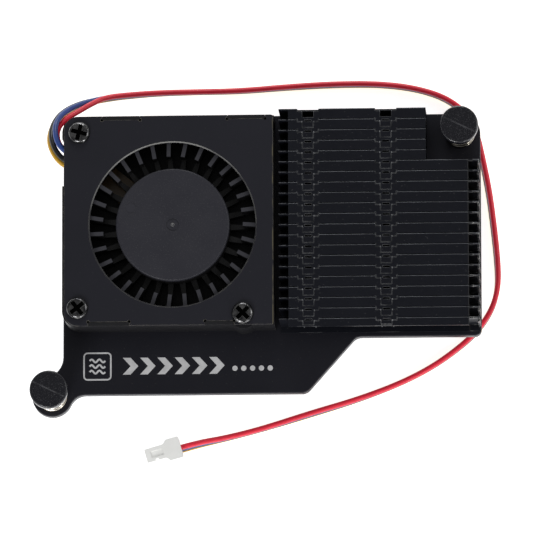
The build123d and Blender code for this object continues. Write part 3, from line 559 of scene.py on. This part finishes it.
def near_plug(level, below_top):
    """The last three points of a wire: on the way to the plug, before its mouth and inside."""
    contact_z = CONTACT_LOW_Z + level * CONTACT_PITCH
    points = [(-4.70, -24.20 + 0.08 * below_top, 0.62 + 0.90 * level)]
    for along in (-BEFORE_MOUTH, INSIDE_MOUTH):
        x = PLUG_REAR[0] + along * PLUG_DIR[0]
        y = PLUG_REAR[1] + along * PLUG_DIR[1]
        points.append((x, y, contact_z))
    return points


def cord_curve(name, points, diameter):
    """A smooth round cord that follows its control points."""
    data = bpy.data.curves.new(name, "CURVE")
    data.dimensions = "3D"
    data.bevel_depth = diameter / 2
    data.bevel_resolution = 6
    data.use_fill_caps = True
    data.resolution_u = 10
    spline = data.splines.new("NURBS")
    spline.points.add(len(points) - 1)
    for control, point in zip(spline.points, points):
        control.co = (*point, 1.0)
    spline.order_u = 3
    spline.use_endpoint_u = True
    curve = bpy.data.objects.new(name, data)
    bpy.context.scene.collection.objects.link(curve)
    return curve


for level, (wire, exit_points) in enumerate(WIRE_EXITS.items()):
    below_top = len(WIRE_EXITS) - 1 - level
    stacked = [
        (x + below_top * lean_x, y + below_top * lean_y, z + level * WIRE_PITCH)
        for x, y, z, lean_x, lean_y in MAIN_ROUTE
    ]
    points = exit_points + stacked + near_plug(level, below_top)
    route = [Vector(point) * MM for point in points]
    strand = cord_curve("lead_" + wire.split("_")[1], route, WIRE_D * MM)
    strand.data.materials.append(MATERIALS[wire + "_pvc"])
    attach(strand, "cooler")
    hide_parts(wire)


def mesh_piece(name, mesh, material, body):
    """Puts a finished bmesh in the scene as a named piece that rides on a body."""
    data = bpy.data.meshes.new(name)
    mesh.to_mesh(data)
    mesh.free()
    data.materials.append(material)
    piece = bpy.data.objects.new(name, data)
    bpy.context.scene.collection.objects.link(piece)
    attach(piece, body)
    return piece


# ---------------------------------------------------------------- springs
# Each coil spring is wound as its own mesh, and its ends lie nearly flat on their seats.
SPRING_R = 1.93 * MM
SPRING_WIRE_R = 0.22 * MM
SPRING_TURNS = 5.5
DEAD_TURNS = 0.75
END_EASE = 0.05        # the share of the rise that is eased in and out at the ends
SEAT_GAP = 0.02 * MM
RING = 12
STEPS_PER_TURN = 48
HEAD_UNDER_Z = 13.5 * MM


def wound_spring(centre, bottom, top):
    """A helix of round wire whose ends flatten onto their seats."""
    mesh = bmesh.new()
    steps = int(SPRING_TURNS * STEPS_PER_TURN)
    rings = []
    low = bottom + SPRING_WIRE_R
    high = top - SPRING_WIRE_R
    dead = DEAD_TURNS / SPRING_TURNS
    for step in range(steps + 1):
        share = step / steps
        climb = min(1.0, max(0.0, (share - dead) / (1 - 2 * dead)))
        climb = (1 - 2 * END_EASE) * climb + END_EASE * (1 - math.cos(math.pi * share))
        angle = 2 * math.pi * SPRING_TURNS * share
        ring = []
        for k in range(RING):
            round_angle = 2 * math.pi * k / RING
            radius = SPRING_R + SPRING_WIRE_R * math.cos(round_angle)
            height = low + (high - low) * climb + SPRING_WIRE_R * math.sin(round_angle)
            x = centre[0] + radius * math.cos(angle)
            y = centre[1] + radius * math.sin(angle)
            ring.append(mesh.verts.new((x, y, height)))
        rings.append(ring)
    for before, after in zip(rings, rings[1:]):
        for k in range(RING):
            mesh.faces.new((before[k], before[(k + 1) % RING], after[(k + 1) % RING], after[k]))
    mesh.faces.new(rings[0][::-1])
    mesh.faces.new(rings[-1])
    bmesh.ops.recalc_face_normals(mesh, faces=mesh.faces)
    for face in mesh.faces:
        face.smooth = True
    return mesh


plate_top_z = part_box("fin_01")[0].z
for side in ("a", "b"):
    low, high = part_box("push_pin_" + side)
    centre = (low + high) / 2
    winding = wound_spring(centre, plate_top_z + SEAT_GAP, HEAD_UNDER_Z - SEAT_GAP)
    coil = mesh_piece(
        "coil_spring_" + side, winding, MATERIALS["spring_nickel"], "cooler",
    )
    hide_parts("spring_" + side)
    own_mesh(coil)

# ---------------------------------------------------------------- print on the plate
# Plain silver marks with no meaning: an outlined square with three heat waves, a row of
# airflow chevrons and a row of dots. All sizes are in millimetres.
PRINT_T = 0.012
PRINT_GAP = 0.0004
MARK_X, MARK_Y = -22.6, -14.35
FRAME_HALF, FRAME_R, FRAME_STROKE = 1.9, 0.5, 0.22
CORNER_STEPS = 6
WAVE_L, WAVE_H, WAVE_STROKE = 2.2, 0.22, 0.26
WAVE_ROWS = (-0.8, 0.0, 0.8)
WAVE_STEPS = 24
WAVE_STEPS_PER_CYCLE = 12
CHEVRONS, CHEVRON_X, CHEVRON_PITCH = 6, -19.0, 2.45
CHEVRON_W, CHEVRON_H = 1.1, 2.4
DOTS, DOT_X, DOT_PITCH = 5, -3.1, 1.25
DOT_R, DOT_DROP = 0.38, 0.45
DOT_SIDES = 20
print_ink = surface(
    "print_ink", (0.52, 0.52, 0.53), 0.45, 0.0, (0.62, 0.62, 0.63), grain=9000, blotch=900,
)


def plate_face(mesh, points):
    """One flat piece of print: an outline on the plate, PRINT_T thick."""
    low = [mesh.verts.new((x * MM, y * MM, plate_top_z + PRINT_GAP * MM)) for x, y in points]
    high = [mesh.verts.new((x * MM, y * MM, plate_top_z + PRINT_T * MM)) for x, y in points]
    mesh.faces.new(low[::-1])
    mesh.faces.new(high)
    count = len(points)
    for i in range(count):
        j = (i + 1) % count
        mesh.faces.new((low[i], low[j], high[j], high[i]))


def ribbon(mesh, line, width):
    """A printed stroke of one width along a line of points."""
    left, right = [], []
    for i, (x, y) in enumerate(line):
        ahead = line[min(i + 1, len(line) - 1)]
        behind = line[max(i - 1, 0)]
        along = Vector((ahead[0] - behind[0], ahead[1] - behind[1])).normalized()
        left.append((x - along.y * width / 2, y + along.x * width / 2))
        right.append((x + along.y * width / 2, y - along.x * width / 2))
    plate_face(mesh, right + left[::-1])


def disc(mesh, x, y, radius):
    """A printed dot."""
    ring = [2 * math.pi * i / DOT_SIDES for i in range(DOT_SIDES)]
    plate_face(mesh, [(x + radius * math.cos(a), y + radius * math.sin(a)) for a in ring])


def rounded_frame(mesh, x, y, half, radius, width):
    """A square outline with round corners, as four sides and four arcs."""
    line = []
    for quarter, (cx, cy) in enumerate(((1, 1), (-1, 1), (-1, -1), (1, -1))):
        for step in range(CORNER_STEPS + 1):
            angle = math.pi / 2 * (quarter + step / CORNER_STEPS)
            line.append((
                x + cx * (half - radius) + radius * math.cos(angle),
                y + cy * (half - radius) + radius * math.sin(angle),
            ))
    for start, end in zip(line, line[1:] + line[:1]):
        ribbon(mesh, [start, end], width)


def heat_wave(mesh, x, y):
    """A short wavy stroke."""
    line = []
    for i in range(WAVE_STEPS + 1):
        swing = WAVE_H * math.sin(2 * math.pi * i / WAVE_STEPS_PER_CYCLE)
        line.append((x - WAVE_L / 2 + WAVE_L * i / WAVE_STEPS, y + swing))
    ribbon(mesh, line, WAVE_STROKE)


def chevron(mesh, x, y):
    """An arrow head that points right, as two slanted bars that meet in the middle."""
    for side in (-1, 1):
        edge_y = y + side * CHEVRON_H / 2
        outer = [(x, edge_y), (x + CHEVRON_W, edge_y)]
        inner = [(x + 2 * CHEVRON_W, y), (x + CHEVRON_W, y)]
        plate_face(mesh, outer + inner)


print_mesh = bmesh.new()
rounded_frame(print_mesh, MARK_X, MARK_Y, FRAME_HALF, FRAME_R, FRAME_STROKE)
for row in WAVE_ROWS:
    heat_wave(print_mesh, MARK_X, MARK_Y + row)
for i in range(CHEVRONS):
    chevron(print_mesh, CHEVRON_X + CHEVRON_PITCH * i, MARK_Y)
for i in range(DOTS):
    disc(print_mesh, DOT_X + DOT_PITCH * i, MARK_Y - DOT_DROP, DOT_R)
bmesh.ops.recalc_face_normals(print_mesh, faces=print_mesh.faces)
mesh_piece("plate_print", print_mesh, print_ink, "cooler")

# ---------------------------------------------------------------- floor and light
FLOOR_SIZE = 6.0
FLOOR_DROP = 0.1 * MM
floor_data = bpy.data.meshes.new("floor")
floor_mesh = bmesh.new()
bmesh.ops.create_grid(floor_mesh, x_segments=1, y_segments=1, size=FLOOR_SIZE)
floor_mesh.to_mesh(floor_data)
floor_mesh.free()
floor = bpy.data.objects.new("floor", floor_data)
bpy.context.scene.collection.objects.link(floor)
floor.location.z = -FLOOR_DROP
floor_material, _, floor_shader = new_material("floor", (0.93, 0.93, 0.93), 0.8)
floor_shader.inputs["Specular IOR Level"].default_value = 0.1
floor_shader.inputs["Emission Color"].default_value = (1.0, 1.0, 1.0, 1.0)
floor_shader.inputs["Emission Strength"].default_value = 0.85
floor_data.materials.append(floor_material)

world = bpy.data.worlds.new("studio")
bpy.context.scene.world = world
world.use_nodes = True
background = world.node_tree.nodes["Background"]
background.inputs["Color"].default_value = (1.0, 1.0, 1.0, 1.0)
background.inputs["Strength"].default_value = 0.24


def softbox(name, direction, distance, size, watts):
    """A square light that looks at the cooler from some way off in one direction."""
    light = bpy.data.lights.new(name, "AREA")
    light.size = size
    light.energy = watts
    lamp = bpy.data.objects.new(name, light)
    bpy.context.scene.collection.objects.link(lamp)
    lamp.location = target + Vector(direction).normalized() * distance
    lamp.rotation_mode = "QUATERNION"
    lamp.rotation_quaternion = (-Vector(direction)).to_track_quat("-Z", "Y")


softbox("key", direction=(-0.45, -1.0, 0.75), distance=0.45, size=0.14, watts=1.0)
softbox("front", direction=(0.55, -1.0, 0.35), distance=0.45, size=0.12, watts=0.45)
softbox("side", direction=(1.0, 0.25, 0.9), distance=0.5, size=0.25, watts=0.5)
softbox("rear", direction=(0.0, 1.0, 0.5), distance=0.45, size=0.16, watts=0.7)

bpy.context.scene.view_settings.view_transform = "Standard"
